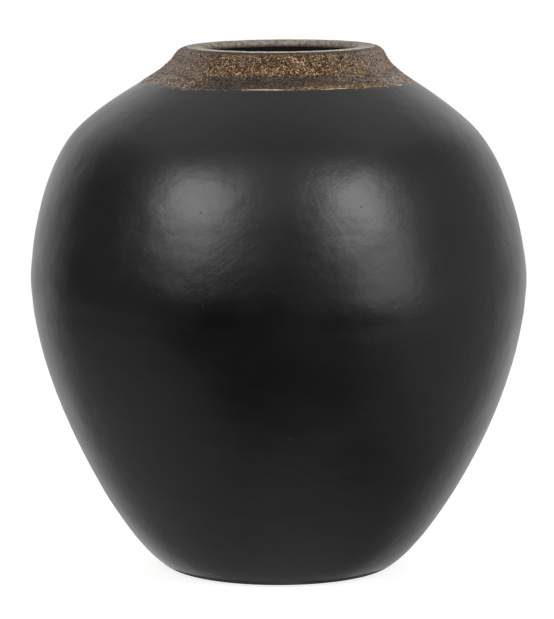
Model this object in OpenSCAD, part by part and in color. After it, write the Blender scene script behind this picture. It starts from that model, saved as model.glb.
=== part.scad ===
// Black clay pot, built the way a coil potter builds one: a bottom slab, six rings of clay rope
// pinched thin and lapped one on another, and a roll for the lip. A burnished black skin covers
// the wall and a rough, gritty coat covers the neck and the lip.
// Millimetres. +Z is up. The origin is at the centre of the foot, on the table.

/* [Overall] */
// Height from the table to the crest of the lip
pot_h = 340; // [280:1:410]
// Greatest diameter, at the belly
belly_d = 321; // [265:1:390]
// Height of the belly above the table
belly_z = 190; // [155:1:230]

/* [Foot] */
// Diameter of the level foot where the wall starts to climb
foot_d = 133.5; // [110:0.5:160]
// Width of the level ring that touches the table
foot_ring_w = 18; // [14:0.5:22]
// Depth of the hollow inside that ring
foot_hollow = 2; // [1:0.5:4]
// How far the foot's round edge sweeps out, as a share of the way to the belly
foot_sweep = 0.26; // [0.2:0.01:0.34]

/* [Bottom slab] */
// Thickness of the slab
slab_t = 11; // [8:0.5:14]
// How far the slab's bevelled edge spreads from its underside to its top
slab_bevel = 7; // [4:0.5:9]
// Height and reach of the cove between the slab and the wall
cove = 9; // [6:0.5:12]

/* [Wall] */
// Thickness of the pinched clay wall
wall_t = 8; // [6:0.5:11]
// How much lower each joint is on the inside than on the outside
lap = 8; // [5:0.5:12]
// Height of the first joint above the table, on the outside
first_joint_z = 50; // [42:1:70]
// Pull of the belly on the wall below it
belly_pull_below = 0.4; // [0.3:0.01:0.5]
// Pull of the belly on the wall above it
belly_pull_above = 0.18; // [0.1:0.01:0.3]

/* [Shoulder] */
// How far the shoulder line lies below the crest of the lip
shoulder_drop = 50.5; // [42:0.5:61]
// How far the shoulder line lies inside the belly
shoulder_in = 34.5; // [29:0.5:42]
// Lean of the wall at the shoulder line, in degrees from upright
shoulder_lean = 48; // [42:0.5:54]
// Pull of the shoulder on the wall below it
shoulder_pull = 0.34; // [0.25:0.01:0.42]

/* [Neck and lip] */
// Diameter of the neck where the lip starts to round over
lip_root_d = 135.5; // [126:0.5:162]
// How far below the crest the lip starts to round over
lip_drop = 5; // [4:0.25:6]
// Lean of the neck at that line, in degrees from upright
lip_lean = 27; // [20:1:36]
// Diameter of the mouth
mouth_d = 98; // [80:1:104]
// Length of the straight wall round the mouth
throat_len = 9; // [6:0.5:12]
// Radius of the rounded edge between the lip's top and the mouth
mouth_edge_r = 4; // [3:0.25:5]
// Pull of the shoulder line on the neck
neck_pull_below = 0.81; // [0.6:0.01:0.95]
// Pull of the lip on the neck
neck_pull_above = 0.33; // [0.2:0.01:0.45]
// Pull of the throat on the inside of the neck
throat_pull = 0.2; // [0.1:0.01:0.4]
// Pull of the wall on the inside of the neck
neck_inside_pull = 0.75; // [0.5:0.01:0.9]

/* [Finish] */
// Thickness of the burnished skin
skin_t = 0.8; // [0.5:0.1:1.2]
// Height of the skin's lower edge; the clay below it is bare
skin_z = 4; // [2:0.5:7]
// Thickness of the gritty coat
coat_t = 1.6; // [1:0.1:2]
// How far the coat's lower edge lies below the crest of the lip
coat_drop = 22; // [18:0.5:34]

/* [Hidden] */
$fn = 56;
STEPS = 8;      // chords in one run of the outline
ARC_STEPS = 8;  // chords in one rounded edge

belly_r = belly_d / 2;
foot_r = foot_d / 2;
mouth_r = mouth_d / 2;
lip_root_r = lip_root_d / 2;
shoulder_z = pot_h - shoulder_drop;
shoulder_r = belly_r - shoulder_in;
lip_root_z = pot_h - lip_drop;
slab_top = foot_hollow + slab_t;
clay_in = skin_t + wall_t;  // depth of the wall's inner face below the finished outline

// A unit step up a wall that leans in by an angle from upright
function lean(a) = [-sin(a), cos(a)];

// A cubic curve through four handles, and the way it runs
function on_curve(p, t) = pow(1 - t, 3) * p[0] + 3 * pow(1 - t, 2) * t * p[1]
                        + 3 * (1 - t) * pow(t, 2) * p[2] + pow(t, 3) * p[3];
function heading(p, t) = let (d = pow(1 - t, 2) * (p[1] - p[0]) + 2 * (1 - t) * t * (p[2] - p[1])
                                + pow(t, 2) * (p[3] - p[2])) d / norm(d);

// The finished outline in three spans, from the foot to the belly, the shoulder line and the lip
belly = [belly_r, belly_z];
shoulder = [shoulder_r, shoulder_z];
lip_root = [lip_root_r, lip_root_z];
upper_h = shoulder_z - belly_z;
neck_h = lip_root_z - shoulder_z;
SPANS = [
    [[foot_r, 0], [foot_r + foot_sweep * (belly_r - foot_r), 0],
     belly - [0, belly_pull_below * belly_z], belly],
    [belly, belly + [0, belly_pull_above * upper_h],
     shoulder - shoulder_pull * upper_h * lean(shoulder_lean), shoulder],
    [shoulder, shoulder + neck_pull_below * neck_h * lean(shoulder_lean),
     lip_root - neck_pull_above * neck_h * lean(lip_lean), lip_root]
];

// A point at a place on the outline, from 0 at the foot to 3 at the lip, sunk by a depth
function span(s) = SPANS[min(floor(s), 2)];
function share(s) = s - min(floor(s), 2);
function sunk(s, depth) = let (h = heading(span(s), share(s)))
    on_curve(span(s), share(s)) - depth * [h.y, -h.x];

// The place where the outline, sunk by a depth, reaches a height, found by halving
function place(z, depth, lo = 0, hi = 3, tries = 32) = tries == 0 ? (lo + hi) / 2
    : let (mid = (lo + hi) / 2) sunk(mid, depth).y < z ? place(z, depth, mid, hi, tries - 1)
                                                       : place(z, depth, lo, mid, tries - 1);

// The points between two places, sunk by a depth
function run(a, b, depth) = [for (i = [0 : STEPS]) sunk(a + (b - a) * i / STEPS, depth)];
function arc(centre, r, from, to) = [for (i = [0 : ARC_STEPS])
    let (a = from + (to - from) * i / ARC_STEPS) centre + r * [cos(a), sin(a)]];

// Joints between the courses, evenly spaced from the first one to the shoulder line
BODY_COURSES = 4;
function joint_z(i) = first_joint_z + i * (shoulder_z - first_joint_z) / BODY_COURSES;
function joint_out(i) = place(joint_z(i), skin_t);
function joint_in(i) = place(joint_z(i) - lap, clay_in);

// Places of the skin's lower edge and of the line where the skin meets the coat
skin_start = place(skin_z, 0);
coat_start = place(pot_h - coat_drop, 0);
lip_start = 3;

// The lip rounds over to its crest, runs level, and rounds down into the mouth
lip_r = lip_drop / (1 - sin(lip_lean));
lip_centre = lip_root - lip_r * [cos(lip_lean), sin(lip_lean)];
edge_centre = [mouth_r + mouth_edge_r, pot_h - mouth_edge_r];
throat_z = edge_centre.y - throat_len;
function lip_top(depth) = concat(arc(lip_centre, lip_r - depth, lip_lean, 90),
                                 arc(edge_centre, mouth_edge_r - depth, 90, 180));

// The inside of the neck, from the straight throat down to the last joint
neck_foot = sunk(joint_in(BODY_COURSES), clay_in);
neck_foot_heading = heading(span(joint_in(BODY_COURSES)), share(joint_in(BODY_COURSES)));
throat_h = throat_z - neck_foot.y;
NECK_INSIDE = [[mouth_r, throat_z], [mouth_r, throat_z - throat_pull * throat_h],
               neck_foot + neck_inside_pull * throat_h * neck_foot_heading, neck_foot];

// The cove between the slab's top and the inside of the wall
slab_r = foot_r - foot_ring_w;
slab_top_r = slab_r + slab_bevel;
cove_start = place(slab_top + cove, clay_in);
cove_heading = heading(span(cove_start), share(cove_start));
cove_corner = sunk(cove_start, clay_in) - cove / cove_heading.y * cove_heading;
COVE = [sunk(cove_start, clay_in), cove_corner, cove_corner, [slab_top_r, slab_top]];

function curve_points(p) = [for (i = [0 : STEPS]) on_curve(p, i / STEPS)];
function backwards(list) = [for (i = [len(list) - 1 : -1 : 0]) list[i]];

// Turns a section, drawn as radius and height, round the pot's axis
module turned(section) rotate_extrude() polygon(section);

// One ring of the body between two joints, lapped inside the ring below it
module course(i) turned(concat(
    run(joint_out(i), joint_out(i + 1), skin_t),
    backwards(run(joint_in(i), joint_in(i + 1), clay_in))));

module base_slab() color("#3a3634") turned([
    [0, foot_hollow], [slab_r, foot_hollow], [slab_top_r, slab_top], [0, slab_top]]);

module foot_course() color("#34302e") turned(concat(
    [[slab_r, 0]],
    run(0, skin_start, 0),
    run(skin_start, joint_out(0), skin_t),
    backwards(run(cove_start, joint_in(0), clay_in)),
    curve_points(COVE),
    [[slab_r, foot_hollow]]));

module lower_course() color("#373331") course(0);
module haunch_course() color("#34302e") course(1);
module belly_course() color("#373331") course(2);
module shoulder_course() color("#34302e") course(3);

module neck_course() color("#45392f") turned(concat(
    run(joint_out(BODY_COURSES), coat_start, skin_t),
    run(coat_start, lip_start, coat_t),
    curve_points(NECK_INSIDE)));

module lip_roll() color("#4b3d31") turned(concat(
    lip_top(coat_t),
    [[mouth_r, edge_centre.y], [mouth_r, throat_z]]));

// The outline from the skin's lower edge to the coat, in the same runs as the courses under it
function covered(depth) = concat(
    run(skin_start, joint_out(0), depth),
    [for (i = [0 : BODY_COURSES - 1]) each run(joint_out(i), joint_out(i + 1), depth)],
    run(joint_out(BODY_COURSES), coat_start, depth));

module burnished_skin() color("#262627") turned(concat(covered(0), backwards(covered(skin_t))));

module neck_coat() color("#6b5337") turned(concat(
    run(coat_start, lip_start, 0),
    lip_top(0),
    backwards(concat(run(coat_start, lip_start, coat_t), lip_top(coat_t)))));

base_slab();
foot_course();
lower_course();
haunch_course();
belly_course();
shoulder_course();
neck_course();
lip_roll();
burnished_skin();
neck_coat();
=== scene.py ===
import math
import random

import bmesh
import bpy
from mathutils import Matrix, Vector, geometry, noise


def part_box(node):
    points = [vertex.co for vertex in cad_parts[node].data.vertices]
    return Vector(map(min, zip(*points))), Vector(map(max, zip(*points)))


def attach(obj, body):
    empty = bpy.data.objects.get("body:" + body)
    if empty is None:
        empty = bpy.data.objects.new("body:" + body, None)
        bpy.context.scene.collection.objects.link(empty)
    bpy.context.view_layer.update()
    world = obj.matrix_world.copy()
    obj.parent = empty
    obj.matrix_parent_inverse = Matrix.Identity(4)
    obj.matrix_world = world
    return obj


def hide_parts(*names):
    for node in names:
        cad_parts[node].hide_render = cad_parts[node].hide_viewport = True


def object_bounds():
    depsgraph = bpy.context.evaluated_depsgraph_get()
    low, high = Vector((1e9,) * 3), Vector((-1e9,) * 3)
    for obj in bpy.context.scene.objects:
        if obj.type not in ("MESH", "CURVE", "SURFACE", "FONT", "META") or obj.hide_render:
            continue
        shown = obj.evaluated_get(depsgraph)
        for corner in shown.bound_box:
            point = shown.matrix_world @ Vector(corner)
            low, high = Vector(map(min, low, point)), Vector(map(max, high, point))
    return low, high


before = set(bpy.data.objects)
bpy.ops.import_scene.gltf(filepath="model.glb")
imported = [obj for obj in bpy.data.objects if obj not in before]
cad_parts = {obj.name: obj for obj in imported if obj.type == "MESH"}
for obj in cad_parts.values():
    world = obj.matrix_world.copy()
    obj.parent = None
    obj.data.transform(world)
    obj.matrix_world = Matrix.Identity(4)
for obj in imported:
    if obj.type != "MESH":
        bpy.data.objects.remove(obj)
cad_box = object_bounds()

# --- Bottom slab ---
# A disc of dark clay patted flat on a board, with a bevelled edge. Its underside is wiped
# with a wet rag, and its top keeps the marks of the fingers that pressed it into the wall.

MM = 0.001
MERGE = 0.001 * MM
CORNER = math.radians(25)
TURN = 2 * math.pi
CLAY_STEPS = 180
CLAY_SPACING = 4 * MM


def outline_of(node):
    """The outline that a solid was turned from, in order, cut from it by an upright plane."""
    cut = bmesh.new()
    cut.from_mesh(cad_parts[node].data)
    bmesh.ops.remove_doubles(cut, verts=cut.verts, dist=MERGE)
    for normal, clear in (((1, 0, 0), True), ((0, 1, 0), False)):
        solid = cut.verts[:] + cut.edges[:] + cut.faces[:]
        kept = bmesh.ops.bisect_plane(
            cut, geom=solid, dist=MERGE, plane_no=normal, clear_inner=clear
        )["geom_cut"]
    edges = {e for e in kept if isinstance(e, bmesh.types.BMEdge)}
    edges = {e for e in edges if max(v.co.x for v in e.verts) > MERGE}
    ends = {}
    for e in edges:
        for v in e.verts:
            ends[v] = ends.get(v, 0) + 1
    start = min(ends, key=lambda v: (ends[v], v.co.z, v.co.x))
    points, here = [start.co.copy()], start
    while True:
        onward = next((e for e in here.link_edges if e in edges), None)
        if onward is None:
            break
        edges.discard(onward)
        here = onward.other_vert(here)
        if here is start:
            break
        points.append(here.co.copy())
    cut.free()
    return points


def runs_of(points, closed=True):
    """An outline split at its corners into smooth runs."""
    n = len(points)

    def is_corner(i):
        into, out = points[i] - points[i - 1], points[(i + 1) % n] - points[i]
        return into.angle(out, 0) > CORNER

    if closed:
        corners = [i for i in range(n) if is_corner(i)]
        pairs = zip(corners, corners[1:] + [corners[0] + n])
    else:
        corners = [0] + [i for i in range(1, n - 1) if is_corner(i)] + [n - 1]
        pairs = zip(corners, corners[1:])
    return [[points[k % n] for k in range(a, b + 1)] for a, b in pairs]


def drawn(run, spacing):
    """A smooth run drawn again through its own points, with points about a spacing apart."""
    points = [run[0]]
    for i, (a, b) in enumerate(zip(run, run[1:])):
        before = run[i - 1] if i else a
        after = run[i + 2] if i + 2 < len(run) else b
        reach = (b - a).length / 3
        handle_a = a + (b - before).normalized() * reach
        handle_b = b - (after - a).normalized() * reach
        parts = max(1, round((b - a).length / spacing))
        points += geometry.interpolate_bezier(a, handle_a, handle_b, b, parts + 1)[1:]
    return points


def turned(runs, steps, closed=True):
    """A closed skin turned round the pot's axis from runs that follow each other.

    Each point keeps its way along the outline, from the outline's first point, in millimetres.
    """
    shape = bmesh.new()
    way = shape.verts.layers.float.new("way")
    points = [p for run in runs for p in run[:-1]] + ([] if closed else [runs[-1][-1]])
    verts = [shape.verts.new(p) for p in points]
    for before, after in zip(verts, verts[1:]):
        after[way] = before[way] + (after.co - before.co).length / MM
    pairs = zip(verts, verts[1:] + (verts[:1] if closed else []))
    edges = [shape.edges.new(pair) for pair in pairs]
    bmesh.ops.spin(
        shape, geom=verts + edges, axis=(0, 0, 1), cent=(0, 0, 0),
        steps=steps, angle=TURN, use_merge=True,
    )
    bmesh.ops.remove_doubles(shape, verts=shape.verts, dist=MERGE)
    bmesh.ops.recalc_face_normals(shape, faces=shape.faces)
    return shape


def smooth_step(low, high, value):
    t = min(max((value - low) / (high - low), 0), 1)
    return t * t * (3 - 2 * t)


# Sideways lean of the hand-built wall, to the right, at heights from the table to the rim
LEAN = [(0, -0.4), (80, 0.6), (190, 0.0), (282, -1.6), (322, -0.6), (340, 1.2)]
RIM_TILT = 0.008


def hand_built(p):
    """Where a point of the true round pot lies on the hand-built one."""
    x, y, z = p
    lean = LEAN[-1][1]
    for (low, a), (high, b) in zip(LEAN, LEAN[1:]):
        if z <= high * MM:
            lean = a + (b - a) * smooth_step(low * MM, high * MM, z)
            break
    angle = math.atan2(y, x)
    height = z / cad_box[1].z
    swell = 0.0022 * math.cos(2 * angle + 0.8 + height) + 0.0012 * math.cos(3 * angle - 2 * height)
    swell += 0.0035 * noise.noise(Vector((x, y, z)) / (95 * MM))
    rise = RIM_TILT * x * smooth_step(0.88, 1, height)
    return Vector((x * (1 + swell) + lean * MM, y * (1 + swell), z + rise))


def place(shape, name, slot, material, *nodes):
    """Makes a shape into a piece of the pot that stands for its solids."""
    for v in shape.verts:
        v.co = hand_built(v.co)
    mesh = bpy.data.meshes.new(name)
    shape.to_mesh(mesh)
    shape.free()
    mesh.shade_smooth()
    mesh.set_sharp_from_angle(angle=math.radians(40))
    mesh.materials.append(material)
    piece = bpy.data.objects.new(name, mesh)
    bpy.context.scene.collection.objects.link(piece)
    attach(piece, "root")
    if nodes:
        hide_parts(*nodes)
    return piece


def linear(hex_colour):
    """An sRGB hex colour as linear red, green, blue and alpha."""
    parts = [int(hex_colour[i:i + 2], 16) / 255 for i in (1, 3, 5)]
    return [c / 12.92 if c <= 0.04045 else ((c + 0.055) / 1.055) ** 2.4 for c in parts] + [1]


def add_node(tree, kind, settings=None, links=None):
    """Adds a node. Settings name its properties or sockets, and links join its sockets."""
    made = tree.nodes.new("ShaderNode" + kind)
    for key, value in (settings or {}).items():
        if isinstance(key, str) and hasattr(made, key):
            setattr(made, key, value)
        else:
            made.inputs[key].default_value = value
    for key, output in (links or {}).items():
        tree.links.new(output, made.inputs[key])
    return made


def new_material(name):
    material = bpy.data.materials.new(name)
    material.use_nodes = True
    material.node_tree.nodes.clear()
    return material, material.node_tree


def ramp(tree, value, *stops):
    """A colour ramp on a value, from pairs of a place and an sRGB hex colour."""
    made = add_node(tree, "ValToRGB", links={"Fac": value})
    stock = made.color_ramp.elements
    while len(stock) < len(stops):
        stock.new(0.5)
    for stop, (at, colour) in zip(stock, stops):
        stop.position = at
        stop.color = linear(colour)
    return made.outputs["Color"]


def finish_surface(tree, settings, links):
    shader = add_node(tree, "BsdfPrincipled", settings, links)
    add_node(tree, "OutputMaterial", links={"Surface": shader.outputs["BSDF"]})


def per_mm(size):
    """The scale of a pattern whose features are this many millimetres apart."""
    return 1 / (size * MM)


def between(tree, value, low, high, below=0.0, above=1.0):
    """A value eased from one end to another as it goes from low to high."""
    eased = add_node(
        tree, "MapRange",
        {
            "From Min": low, "From Max": high, "To Min": below, "To Max": above,
            "interpolation_type": "SMOOTHSTEP",
        },
        {"Value": value},
    )
    return eased.outputs["Result"]


def calc(tree, operation, a, b):
    """A sum on two values, each a number or another node's output."""
    pair = {0: a, 1: b}
    numbers = {k: v for k, v in pair.items() if isinstance(v, float)}
    outputs = {k: v for k, v in pair.items() if not isinstance(v, float)}
    return add_node(tree, "Math", {"operation": operation, **numbers}, outputs).outputs["Value"]


def mixed(tree, share, under, over):
    """One colour over another. The share and the colours are node outputs or hex colours."""
    colours = {6: under, 7: over}
    plain = {k: linear(v) for k, v in colours.items() if isinstance(v, str)}
    outputs = {k: v for k, v in colours.items() if not isinstance(v, str)}
    return add_node(tree, "Mix", {"data_type": "RGBA", **plain}, {0: share, **outputs}).outputs[2]


# Smoke-fired clay, wiped but not rubbed: sooty inside the pot, where it is also darkened as painted
# shade for the dim hollow, and grey below it, with sandy specks and drag marks
bare_clay, tree = new_material("bare_smoke_fired_clay")
place_on_pot = add_node(tree, "TexCoord").outputs["Object"]
cloud = add_node(tree, "TexNoise", {"Scale": per_mm(38), "Detail": 4}, {"Vector": place_on_pot})
sand = add_node(tree, "TexVoronoi", {"Scale": per_mm(1.6)}, {"Vector": place_on_pot})
drag = add_node(tree, "Mapping", {"Scale": (1, 1, 9)}, {"Vector": place_on_pot})
drag_marks = add_node(
    tree, "TexNoise", {"Scale": per_mm(30), "Detail": 6, "Roughness": 0.65},
    {"Vector": drag.outputs["Vector"]},
)
# Inside the pot the clay is near black: part soot, part painted shade for the dim hollow
soot_and_shade_clay_colour = ramp(tree, cloud.outputs["Fac"], (0.3, "#0b0a0a"), (0.55, "#110f0e"), (0.8, "#1c1917"))
sand_colour = ramp(
    tree, sand.outputs["Color"], (0.0, "#080707"), (0.25, "#110f0d"), (0.9, "#1a1714"), (1.0, "#5b4f41")
)
soot_and_shade_clay = add_node(tree, "Mix", {"data_type": "RGBA", 0: 0.35}, {6: soot_and_shade_clay_colour, 7: sand_colour})
axes = add_node(tree, "SeparateXYZ", links={"Vector": place_on_pot})
underneath = between(tree, axes.outputs["Z"], 5 * MM, 9 * MM, 0.85, 0.0)
grey_clay = ramp(tree, cloud.outputs["Fac"], (0.3, "#2c2926"), (0.55, "#3b3733"), (0.8, "#4d4740"))
clay = mixed(tree, underneath, soot_and_shade_clay.outputs[2], grey_clay)
height = add_node(
    tree, "Math", {"operation": "MULTIPLY_ADD", 1: 0.35},
    {0: sand.outputs["Distance"], 2: drag_marks.outputs["Fac"]},
)
bump = add_node(
    tree, "Bump", {"Strength": 0.55, "Distance": 0.9 * MM}, {"Height": height.outputs["Value"]}
)
finish_surface(
    tree, {"Roughness": 0.88, "IOR": 1.5, "Specular IOR Level": 0.15},
    {"Base Color": clay, "Normal": bump.outputs["Normal"]},
)

FINGER_DENT = 0.7 * MM
WIPE_MARK = 0.2 * MM
WIPED_SHARE = 0.4
slab_runs = [drawn(run, CLAY_SPACING) for run in runs_of(outline_of("base_slab"), closed=False)]
slab = turned(slab_runs, CLAY_STEPS, closed=False)
slab_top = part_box("base_slab")[1].z
for v in slab.verts:
    dents = FINGER_DENT * noise.noise(v.co / (19 * MM)) + WIPE_MARK * noise.noise(v.co / (6 * MM))
    v.co.z += dents * (1 if v.co.z > slab_top - MM else WIPED_SHARE)
place(slab, "pot_base_slab", "bare_clay", bare_clay, "base_slab")

# --- Wall courses ---
# Six rings of clay rope, pinched thin between finger and thumb and lapped one on another.
# Their inner faces keep the ridges of the rope and the dents of the fingers.

COURSES = [
    "foot_course", "lower_course", "haunch_course", "belly_course", "shoulder_course", "neck_course",
]
ROPE = 17 * MM
RIDGE = 0.55 * MM
DENT = 0.9 * MM
BAND = 3 * MM
WALL = 8 * MM


def reach_by_height():
    """The pot's outer radius in bands of height, from all its solids."""
    reach = {}
    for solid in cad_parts.values():
        for v in solid.data.vertices:
            band = round(v.co.z / BAND)
            reach[band] = max(reach.get(band, 0), v.co.xy.length)
    return reach


outer_reach = reach_by_height()
known_bands = sorted(outer_reach)


def depth_share(p):
    """How far into the wall a point lies, from 0 outside to 1 at the inner face."""
    band = p.z / BAND
    below = max((b for b in known_bands if b <= band), default=known_bands[0])
    above = min((b for b in known_bands if b >= band), default=known_bands[-1])
    share = (band - below) / (above - below) if above > below else 0
    outside = outer_reach[below] + (outer_reach[above] - outer_reach[below]) * share
    return smooth_step(0.35, 1, (outside - p.xy.length) / WALL)


def fingered(p):
    """A point of the wall, moved by the ridges of the rope and the dents of the fingers."""
    climb = p.z + 3 * MM * noise.noise(p / (60 * MM))
    ridge = RIDGE * math.cos(TURN * climb / ROPE)
    dent = DENT * noise.noise(Vector((p.x, p.y, p.z * 0.8)) / (15 * MM))
    out = Vector((p.x, p.y, 0)).normalized()
    return p + out * (ridge + dent) * depth_share(p)


for course in COURSES:
    runs = [drawn(run, CLAY_SPACING) for run in runs_of(outline_of(course))]
    ring = turned(runs, CLAY_STEPS)
    for v in ring.verts:
        v.co = fingered(v.co)
        # The foot's curve dips a few thousandths of a millimetre, and is held to the table
        v.co.z = max(v.co.z, 0)
    place(ring, "pot_" + course, "bare_clay", bare_clay, course)

# --- Burnished skin ---
# The outside of the wall, rubbed with a smooth stone when leather hard and smoked black.
# Each stroke leaves a shallow flat, so its shine is soft and a little uneven.

SKIN_STEPS = 420
SKIN_SPACING = 2.4 * MM
BACK_SPACING = 9 * MM
SKIN_LAP = 9 * MM
SKIN_SINK = 0.3 * MM
BROAD_FLAT = 0.26 * MM
NARROW_FLAT = 0.07 * MM


def faces_of(node):
    """The outer and the inner face of a thin shell, each drawn upwards from its lower edge."""
    by_points = sorted(runs_of(outline_of(node)), key=len)
    faces = [run if run[0].z < run[-1].z else run[::-1] for run in by_points[-2:]]
    return sorted(faces, key=lambda run: -max(p.z for p in run) - max(p.x for p in run))


def shell_between(outer, inner, steps):
    """A closed shell turned from an outer face and an inner face, both drawn upwards."""
    back = inner[::-1]
    return turned([outer, [outer[-1], back[0]], back, [back[-1], outer[0]]], steps)


def pushed_on(run, distance):
    """A run carried straight on past its last point."""
    return run + [run[-1] + (run[-1] - run[-2]).normalized() * distance]


def stroke_depth(p):
    """Depth of the flats that the rubbing stone left, in broad strokes that cross narrow ones."""
    slant = Vector((p.x, p.y, p.z * 1.8 - p.x * 0.8))
    level = Vector((p.x, p.y, p.z * 3.5))
    return BROAD_FLAT * noise.noise(slant / (42 * MM)) + NARROW_FLAT * noise.noise(level / (18 * MM))


def first_part(run, length):
    """The points of a run that lie within a length from its start, along it."""
    kept, way = [run[0]], 0
    for a, b in zip(run, run[1:]):
        way += (b - a).length
        if way > length:
            break
        kept.append(b)
    return kept


skin_outer, skin_inner = faces_of("burnished_skin")
coat_outer, coat_inner = faces_of("neck_coat")
under_coat = first_part(drawn(coat_outer, SKIN_SPACING), SKIN_LAP)
for i in range(1, len(under_coat)):
    under_coat[i] = under_coat[i] - Vector((SKIN_SINK, 0, SKIN_SINK))
skin = shell_between(
    drawn(skin_outer, SKIN_SPACING) + under_coat[1:], drawn(skin_inner, BACK_SPACING), SKIN_STEPS
)
for v in skin.verts:
    v.co += Vector((v.co.x, v.co.y, 0)).normalized() * stroke_depth(v.co)

# Black burnished clay: satin, near black, cloudy where the smoke and the stone bit unevenly,
# with fine rubbing strokes, a few grit pits and short nicks
burnished, tree = new_material("burnished_black_clay")
place_on_pot = add_node(tree, "TexCoord").outputs["Object"]
cloud = add_node(tree, "TexNoise", {"Scale": per_mm(60), "Detail": 6}, {"Vector": place_on_pot})
black = ramp(tree, cloud.outputs["Fac"], (0.3, "#060606"), (0.7, "#101010"))
shine = add_node(
    tree, "MapRange", {"From Min": 0.3, "From Max": 0.7, "To Min": 0.3, "To Max": 0.38},
    {"Value": cloud.outputs["Fac"]},
)
STROKE_LENGTH = 32


def stroke_lines(tree, where, slant, width):
    """Fine lines left by the stone, at a slant in degrees, as a height from 0 to 1."""
    stretch = STROKE_LENGTH / width
    along = add_node(
        tree, "Mapping",
        {
            "vector_type": "TEXTURE", "Rotation": (0, math.radians(slant), 0),
            "Scale": (stretch, stretch, 1),
        },
        {"Vector": where},
    )
    lines = add_node(
        tree, "TexNoise", {"Scale": per_mm(width), "Detail": 3, "Roughness": 0.6},
        {"Vector": along.outputs["Vector"]},
    )
    return lines.outputs["Fac"]


def pockmarks(tree, where, apart, radius, depth):
    """Small dents about a distance apart in millimetres, as a height of nought or less."""
    cells = add_node(tree, "TexVoronoi", {"Scale": per_mm(apart)}, {"Vector": where})
    dent = add_node(
        tree, "MapRange",
        {"From Min": 0.3 * radius / apart, "From Max": radius / apart, "To Min": -depth, "To Max": 0.0},
        {"Value": cells.outputs["Distance"]},
    )
    return dent.outputs["Result"]


slanting = stroke_lines(tree, place_on_pot, -38, 1.4)
level = stroke_lines(tree, place_on_pot, 4, 2.2)
strokes = add_node(tree, "Math", {"operation": "MULTIPLY_ADD", 1: 0.6}, {0: level, 2: slanting})
mottle = add_node(
    tree, "TexNoise", {"Scale": per_mm(15), "Detail": 5, "Roughness": 0.55}, {"Vector": place_on_pot}
)
uneven = add_node(
    tree, "Math", {"operation": "MULTIPLY_ADD", 1: 8.0},
    {0: mottle.outputs["Fac"], 2: strokes.outputs["Value"]},
)
pits = pockmarks(tree, place_on_pot, 11, 0.7, 3)
nick_place = add_node(
    tree, "Mapping", {"vector_type": "TEXTURE", "Rotation": (0, 0.5, 0), "Scale": (3, 3, 1)},
    {"Vector": place_on_pot},
)
nicks = pockmarks(tree, nick_place.outputs["Vector"], 17, 0.8, 4)
height = calc(tree, "ADD", calc(tree, "ADD", pits, nicks), uneven.outputs["Value"])
bump = add_node(tree, "Bump", {"Strength": 0.25, "Distance": 0.2 * MM}, {"Height": height})
finish_surface(
    tree, {"IOR": 1.5},
    {"Base Color": black, "Roughness": shine.outputs["Result"], "Normal": bump.outputs["Normal"]},
)
place(skin, "pot_burnished_skin", "burnished_clay", burnished, "burnished_skin")

# --- Lip roll ---
# A rope of clay laid on the neck and smoothed round with a wet finger. Only its inner wall
# shows, below the coat.

roll_runs = [drawn(run, 2 * MM) for run in runs_of(outline_of("lip_roll"))]
roll = turned(roll_runs, CLAY_STEPS)
place(roll, "pot_lip_roll", "bare_clay", bare_clay, "lip_roll")

# --- Neck coat ---
# Wet clay mixed with coarse sand and flakes of ore, pressed on the neck and over the lip by
# hand. It fires to a dark brown crust, bronze and gold where the flakes lie thick.

COAT_STEPS = 640
COAT_SPACING = 0.75 * MM
COAT_LAP = 4.5
EDGE_DEPTH = 0.6

# How far lumps, clots of sand and single grains stand out from the coat, in millimetres
LUMP = 0.2
CLOT = 0.14
GRAIN = 0.2

# Millimetres up the crust's face: where the lip begins, where it is worn, and its mouth's edge
LIP_WAY = 26
CREST_WAY = 35.2
MOUTH_WAY = 44


def crust_height(p):
    """How far the crust stands out from the smooth coat, in millimetres."""
    lumps = LUMP * noise.noise(p / (9 * MM)) + CLOT * noise.noise(p / (2.6 * MM))
    return lumps + GRAIN * noise.noise(p / (0.95 * MM))


def above_edge(p, way):
    """How far up the crust a point lies from its ragged lower edge, in millimetres."""
    across = p.x / p.xy.length
    sag = 0.6 - 0.8 * across + 2 * across ** 2
    return way + sag + 1.2 * noise.noise(p / (26 * MM)) + 0.35 * noise.noise(p / (8 * MM))


def crusted(p, normal, way):
    """A point of the smooth coat, at a way up its face in millimetres, moved to the crust's face."""
    edge = smooth_step(-0.5, 0.9, above_edge(p, way))
    rubbed = smooth_step(LIP_WAY, LIP_WAY + 8, way)
    rough = crust_height(p) * edge * (1 - 0.6 * rubbed)
    return p + normal * (rough - EDGE_DEPTH * (1 - edge)) * MM


coat_face = pushed_on(drawn(coat_outer, COAT_SPACING)[::-1], COAT_LAP * MM)[::-1]
coat = shell_between(coat_face, drawn(coat_inner, 5 * COAT_SPACING), COAT_STEPS)
coat.normal_update()
way = coat.verts.layers.float["way"]
above = coat.verts.layers.float.new("above_edge")
coat_width = sum((b - a).length for a, b in zip(coat_face, coat_face[1:])) / MM
crust_points = []
for v in coat.verts:
    v[way] -= COAT_LAP
    if v[way] < coat_width - COAT_LAP:
        v[above] = above_edge(v.co, v[way])
        crust_points.append((v, crusted(v.co, v.normal, v[way])))
for v, there in crust_points:
    v.co = there
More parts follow.
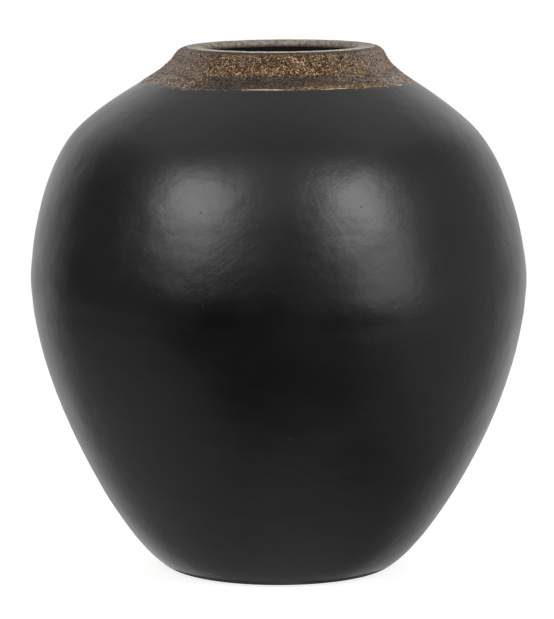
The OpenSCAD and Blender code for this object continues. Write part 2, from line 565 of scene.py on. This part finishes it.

# The crust's face: matt grey-brown grit, its grains just under 1 mm, with gold flakes thick on
# one side, smeared dark above its lower edge, rubbed smooth on the lip, with a painted highlight
# along its crest and a painted shadow below it, and near black in the mouth from soot and painted shade
crust, tree = new_material("sanded_clay_crust")
place_on_pot = add_node(tree, "TexCoord").outputs["Object"]
way_up = add_node(tree, "Attribute", {"attribute_name": "way"}).outputs["Fac"]
above = add_node(tree, "Attribute", {"attribute_name": "above_edge"}).outputs["Fac"]
axes = add_node(tree, "SeparateXYZ", links={"Vector": place_on_pot})
toward_front = calc(tree, "MULTIPLY", axes.outputs["Y"], -1.0)
turn = calc(tree, "ARCTAN2", axes.outputs["X"], toward_front)
grains = add_node(tree, "TexVoronoi", {"Scale": per_mm(0.75)}, {"Vector": place_on_pot})
tone = add_node(tree, "SeparateColor", links={"Color": grains.outputs["Color"]}).outputs["Red"]
cloud = add_node(
    tree, "TexNoise", {"Scale": per_mm(18), "Detail": 6}, {"Vector": place_on_pot}
).outputs["Fac"]
fine = add_node(
    tree, "TexNoise", {"Scale": per_mm(3), "Detail": 6}, {"Vector": place_on_pot}
).outputs["Fac"]
flat = add_node(tree, "Mapping", {"Scale": (1, 1, 5)}, {"Vector": place_on_pot})
smear = add_node(
    tree, "TexNoise", {"Scale": per_mm(14), "Detail": 5}, {"Vector": flat.outputs["Vector"]}
).outputs["Fac"]

# The plain crust, paler and greyer towards its left and right, seen from the front
brown = ramp(
    tree, tone,
    (0.1, "#2b211a"), (0.35, "#4a3c32"), (0.6, "#625247"), (0.8, "#7e6c5f"), (0.95, "#a8917c"),
)
side = calc(tree, "ABSOLUTE", turn, 0.0)
paler_to_sides = between(tree, side, 0.6, 1.2, 0.0, 0.6)
colour = mixed(tree, calc(tree, "MULTIPLY", paler_to_sides, between(tree, fine, 0.3, 0.6)), brown, "#8b7e73")

# Gold flakes, thick in a patch on one side and thin in smaller patches elsewhere
gold = ramp(
    tree, tone,
    (0.1, "#170e07"), (0.35, "#3a281a"), (0.55, "#5f462e"), (0.75, "#8d6a41"), (0.92, "#c4a077"),
)
wander = calc(tree, "MULTIPLY", calc(tree, "SUBTRACT", cloud, 0.5), 2.6)
patch_side = calc(tree, "ABSOLUTE", calc(tree, "ADD", calc(tree, "SUBTRACT", turn, 0.04), wander), 0.0)
on_front = between(tree, patch_side, 0.35, 0.75, 0.95, 0.0)
elsewhere = between(tree, cloud, 0.57, 0.64, 0.0, 0.55)
height_wander = calc(tree, "MULTIPLY", calc(tree, "SUBTRACT", fine, 0.5), 12.0)
edge_wander = calc(tree, "MULTIPLY", calc(tree, "SUBTRACT", fine, 0.5), 3.0)
above_wander = calc(tree, "ADD", above, height_wander)
gold_band = calc(
    tree, "MULTIPLY",
    between(tree, above_wander, 12.0, 17.0),
    between(tree, way_up, 31.0, 34.0, 1.0, 0.0),
)
flakes = calc(tree, "MULTIPLY", calc(tree, "MAXIMUM", on_front, elsewhere), gold_band)
colour = mixed(tree, flakes, colour, gold)
hollows = calc(tree, "MULTIPLY", flakes, between(tree, fine, 0.4, 0.5, 0.85, 0.0))
colour = mixed(tree, hollows, colour, "#1c120a")

# A dark band smeared by a wet thumb above the lower edge
smear_band = calc(
    tree, "MULTIPLY",
    between(tree, above, 1.0, 2.5),
    between(tree, above_wander, 13.0, 17.0, 1.0, 0.0),
)
on_left = calc(
    tree, "MULTIPLY", between(tree, turn, -0.75, -0.5), between(tree, turn, 0.25, 0.6, 1.0, 0.35)
)
smear_patches = calc(tree, "MAXIMUM", on_left, between(tree, smear, 0.5, 0.6))
smeared = calc(tree, "MULTIPLY", smear_band, smear_patches)
dark = ramp(tree, smear, (0.35, "#17110c"), (0.5, "#261e16"), (0.65, "#403428"))
colour = mixed(tree, calc(tree, "MULTIPLY", smeared, 0.75), colour, dark)

# Ochre grit along one part of the lower edge
low_band = calc(
    tree, "MULTIPLY", between(tree, above, 0.1, 0.6), between(tree, above, 3.0, 6.0, 0.9, 0.0)
)
on_right = calc(
    tree, "MULTIPLY", between(tree, turn, 0.02, 0.2), between(tree, turn, 0.7, 1.2, 1.0, 0.3)
)
ochre = ramp(tree, tone, (0.15, "#3b2d1e"), (0.4, "#5c4732"), (0.7, "#7d6342"), (0.95, "#a88a5e"))
colour = mixed(tree, calc(tree, "MULTIPLY", on_right, low_band), colour, ochre)

# Pale grains along the low edge, towards its left and right seen from the front
pale_side_grains = calc(
    tree, "MULTIPLY", between(tree, side, 0.8, 1.15), between(tree, above_wander, 6.0, 15.0, 1.0, 0.0)
)
pale_side_grains = calc(tree, "MULTIPLY", pale_side_grains, between(tree, tone, 0.45, 0.75, 0.0, 0.75))
pale_side_grains = calc(tree, "MULTIPLY", pale_side_grains, between(tree, above, 1.5, 3.0))
colour = mixed(tree, pale_side_grains, colour, "#b5a397")

# Two flakes of ochre pressed in on their own, by place and radius in millimetres
OCHRE_FLAKES = (((-69, -51, 320.5), 4), ((51.5, -53, 328), 5))
for spot, radius in OCHRE_FLAKES:
    to_flake = add_node(
        tree, "VectorMath", {"operation": "DISTANCE", 1: Vector(spot) * MM}, {0: place_on_pot}
    )
    near = between(tree, to_flake.outputs["Value"], 0.5 * radius * MM, radius * MM, 0.8, 0.0)
    colour = mixed(tree, near, colour, ochre)

# The lip, rubbed smooth, with a painted shadow just below its crest, a pale band along the crest that
# is partly wear and partly a painted highlight, and near black inside from soot and painted shade
lip = between(tree, calc(tree, "ADD", way_up, height_wander), 28.0, 34.0, 0.0, 0.85)
lip_brown = ramp(tree, fine, (0.3, "#332a24"), (0.5, "#54483f"), (0.7, "#796c60"))
colour = mixed(tree, lip, colour, lip_brown)
# A painted shadow just below the crest, on the front only
crest_shadow_band = calc(
    tree, "MULTIPLY",
    between(tree, way_up, 29.5, 31.5),
    between(tree, way_up, CREST_WAY - 1.6, CREST_WAY - 0.8, 1.0, 0.0),
)
painted_shadow_below_crest = calc(tree, "MULTIPLY", crest_shadow_band, between(tree, toward_front, 0.02, 0.055, 0.0, 0.75))
colour = mixed(tree, painted_shadow_below_crest, colour, "#2c251f")
# A pale band along the crest: wear, and a painted highlight that is strongest at the front
crest = calc(
    tree, "MULTIPLY",
    between(tree, calc(tree, "ADD", way_up, edge_wander), CREST_WAY - 1.4, CREST_WAY),
    between(tree, toward_front, -0.02, 0.05, 0.35, 1.0),
)
wear_and_painted_highlight = calc(tree, "MULTIPLY", crest, between(tree, fine, 0.35, 0.6, 0.6, 1.0))
pale = ramp(tree, tone, (0.1, "#a29588"), (0.5, "#bbafa2"), (0.9, "#d2c8bb"))
colour = mixed(tree, wear_and_painted_highlight, colour, pale)
# Near black inside the mouth: soot, and painted shade for the dim throat
colour = mixed(tree, between(tree, way_up, MOUTH_WAY + 2.0, MOUTH_WAY + 5.5), colour, "#120f0e")

# A stripe of smooth slip along the rest of the lower edge, and pale clay showing in its chips
slip = calc(
    tree, "MULTIPLY",
    between(tree, above, 1.0, 2.4, 0.85, 0.0),
    between(tree, turn, -0.2, 0.1, 1.0, 0.0),
)
colour = mixed(tree, slip, colour, "#5b483d")
chipped = calc(
    tree, "MULTIPLY", between(tree, above, 0.0, 0.2), between(tree, above, 1.0, 1.5, 1.0, 0.0)
)
chipped = calc(tree, "MULTIPLY", chipped, between(tree, cloud, 0.47, 0.55, 0.2, 1.0))
chipped = calc(tree, "MULTIPLY", chipped, between(tree, turn, -0.5, -0.3, 0.3, 1.0))
colour = mixed(tree, chipped, colour, "#c0ae9a")

relief = calc(tree, "ADD", grains.outputs["Distance"], fine)
rubbed = between(tree, way_up, 25.0, 34.0, 0.6, 0.35)
bump = add_node(tree, "Bump", {"Distance": 0.4 * MM}, {"Height": relief, "Strength": rubbed})
glint = between(tree, tone, 0.6, 0.9, 0.72, 0.5)
finish_surface(
    tree, {"IOR": 1.5, "Specular IOR Level": 0.22},
    {"Base Color": colour, "Roughness": glint, "Normal": bump.outputs["Normal"]},
)
place(coat, "pot_neck_coat", "grit_coat", crust, "neck_coat")

# --- Loose grit ---
# Single grains of sand and flakes of ore that stand out of the crust, half sunk in it.
# Most of them lie on the side where the flakes are thick.

GRIT_HANDFULS = 34
GRAINS_IN_HANDFUL = 120
GRAIN_SIZES = (0.2, 0.4)

# Where grains lie up the crust's face: from its twelfth ring of points, thickest half way up it,
# and to two thirds. This share of them is scattered all round, and the rest lie to the front.
LOWEST_RING = 12
THICKEST = 0.5
HIGHEST = 0.66
SCATTERED = 0.45
pick = random.Random(7)
ways_up = [-COAT_LAP]
for a, b in zip(coat_face, coat_face[1:]):
    ways_up.append(ways_up[-1] + (b - a).length / MM)


def seat_of_grain():
    """A place on the crust and the way out from it."""
    rings = len(coat_face)
    i = int(pick.triangular(LOWEST_RING, rings * HIGHEST, rings * THICKEST))
    turn = pick.uniform(0, TURN) if pick.random() < SCATTERED else pick.gauss(-TURN / 4, TURN / 13)
    slope = (coat_face[i + 1] - coat_face[i - 1]).normalized()
    spin = Matrix.Rotation(turn, 4, "Z")
    out = spin @ Vector((slope.z, 0, -slope.x))
    return crusted(spin @ coat_face[i], out, ways_up[i]), out


grit = bmesh.new()
grit.verts.layers.float.new("tone")
for _ in range(GRIT_HANDFULS):
    handful = bmesh.new()
    tone_layer = handful.verts.layers.float.new("tone")
    for _ in range(GRAINS_IN_HANDFUL):
        seat, out = seat_of_grain()
        size = pick.uniform(*GRAIN_SIZES) * MM
        squash = Matrix.Diagonal((size, size * pick.uniform(0.7, 1), size * pick.uniform(0.6, 0.9), 1))
        spun = pick.uniform(0, TURN)
        tumble = Matrix.Rotation(spun, 4, Vector((pick.gauss(0, 1), pick.gauss(0, 1), 1)))
        tone = pick.random()
        grain = bmesh.ops.create_icosphere(
            handful, subdivisions=1, radius=1, matrix=Matrix.Translation(seat) @ tumble @ squash
        )
        for v in grain["verts"]:
            v[tone_layer] = tone
    mesh = bpy.data.meshes.new("handful")
    handful.to_mesh(mesh)
    handful.free()
    grit.from_mesh(mesh)
    bpy.data.meshes.remove(mesh)

# Sand and ore: each grain one colour, from dark brown through bronze to pale gold
grains_of_ore, tree = new_material("sand_and_ore_grains")
tone = add_node(tree, "Attribute", {"attribute_name": "tone"}).outputs["Fac"]
grain_colour = ramp(
    tree, tone,
    (0.0, "#17110d"), (0.4, "#3b2d22"), (0.65, "#5c4833"), (0.85, "#8d7047"), (1.0, "#c9a873"),
)
grain_shine = between(tree, tone, 0.4, 0.9, 0.7, 0.4)
finish_surface(tree, {"IOR": 1.55}, {"Base Color": grain_colour, "Roughness": grain_shine})
place(grit, "pot_coat_grit", "grit_coat", grains_of_ore)

# --- Floor, light and camera ---
# A pale floor that fades into a white studio, with two large softboxes ahead of the pot and
# two weaker ones below them. The side that the pot faces is dim at table height, so its front
# reads black between the softboxes.

FLOOR_REACH = 1.4
floor_mesh = bpy.data.meshes.new("floor")
disc = bmesh.new()
bmesh.ops.create_circle(disc, cap_ends=True, segments=96, radius=FLOOR_REACH)
disc.to_mesh(floor_mesh)
disc.free()
floor = bpy.data.objects.new("floor", floor_mesh)
floor.visible_glossy = False
bpy.context.scene.collection.objects.link(floor)
pale, tree = new_material("pale_floor")
on_floor = add_node(tree, "TexCoord").outputs["Object"]
from_pot = add_node(tree, "VectorMath", {"operation": "LENGTH"}, {0: on_floor})
fade = between(tree, from_pot.outputs["Value"], 0.3, 0.95 * FLOOR_REACH)
board = add_node(
    tree, "BsdfPrincipled",
    {
        "Base Color": linear("#a8a7a5"), "Roughness": 0.9,
        "Emission Color": (1, 1, 1, 1), "Emission Strength": 0.8,
    },
)
clear = add_node(tree, "BsdfTransparent")
faded = add_node(tree, "MixShader", links={0: fade, 1: board.outputs[0], 2: clear.outputs[0]})
add_node(tree, "OutputMaterial", links={"Surface": faded.outputs[0]})
floor_mesh.materials.append(pale)

world = bpy.data.worlds.new("studio")
world.use_nodes = True
tree = world.node_tree
tree.nodes.clear()
towards = add_node(tree, "TexCoord").outputs["Generated"]
axes = add_node(tree, "SeparateXYZ", links={"Vector": towards})
height = add_node(
    tree, "MapRange", {"From Min": -1.0, "From Max": 1.0}, {"Value": axes.outputs["Z"]}
)
room = ramp(
    tree, height.outputs["Result"],
    (0.0, "#bababa"), (0.05, "#a2a2a2"), (0.1, "#6e6e6e"), (0.2, "#323232"), (0.35, "#262626"),
    (0.5, "#3e3e3e"), (0.625, "#5f5f5f"), (0.8, "#909090"), (0.93, "#dcdcdc"), (1.0, "#b6b6b6"),
)
behind = between(tree, axes.outputs["Y"], 0.3, 0.95, 0.0, 1.02)
beside = between(tree, axes.outputs["X"], 0.45, 0.95, 0.0, 0.45)
low_left = add_node(
    tree, "VectorMath", {"operation": "DOT_PRODUCT", 1: Vector((-0.62, 0.05, -0.78))}, {0: towards}
)
card = between(tree, low_left.outputs["Value"], 0.55, 0.95, 0.0, 0.4)
sides = calc(tree, "MAXIMUM", calc(tree, "MAXIMUM", behind, beside), card)
glow = calc(tree, "MAXIMUM", room, sides)
lit = add_node(tree, "Background", {"Color": (1, 1, 1, 1)}, {"Strength": glow})
seen = add_node(tree, "Background", {"Color": (1, 1, 1, 1), "Strength": 1.0})
ray = add_node(tree, "LightPath")
either = add_node(
    tree, "MixShader", links={0: ray.outputs["Is Camera Ray"], 1: lit.outputs[0], 2: seen.outputs[0]}
)
add_node(tree, "OutputWorld", links={"Surface": either.outputs[0]})
bpy.context.scene.world = world

POT_MIDDLE = Vector((0, 0, 0.2))


def softbox(name, azimuth, elevation, distance, width, height, watts):
    """A lamp behind cloth that faces the pot, at angles to the right of its front and up."""
    a, e = math.radians(azimuth), math.radians(elevation)
    away = Vector((math.sin(a) * math.cos(e), -math.cos(a) * math.cos(e), math.sin(e)))
    lamp = bpy.data.lights.new(name, "AREA")
    lamp.shape, lamp.size, lamp.size_y, lamp.energy = "RECTANGLE", width, height, watts
    box = bpy.data.objects.new(name, lamp)
    box.location = POT_MIDDLE + away * distance
    box.rotation_euler = away.to_track_quat("Z", "Y").to_euler()
    bpy.context.scene.collection.objects.link(box)


softbox("softbox_left", -41.5, 31, 1.7, 0.9, 0.74, 14)
softbox("softbox_right", 41.5, 32, 1.7, 0.76, 0.66, 13)
softbox("softbox_right_low", 49, 7, 1.9, 1.0, 0.9, 6)
softbox("softbox_left_low", -40, 13, 1.9, 0.6, 0.5, 1.4)

LENS_LENGTH = 236.5
FAR_LIMIT = 40
LOOK_DOWN = math.radians(7.71)
lens = bpy.data.cameras.new("camera")
lens.lens = LENS_LENGTH
lens.clip_end = FAR_LIMIT
camera = bpy.data.objects.new("camera", lens)
camera.location = (-0.0011, -2.618, 0.523)
camera.rotation_euler = (TURN / 4 - LOOK_DOWN, 0, 0)
bpy.context.scene.collection.objects.link(camera)
bpy.context.scene.camera = camera
bpy.context.scene.view_settings.view_transform = "Standard"
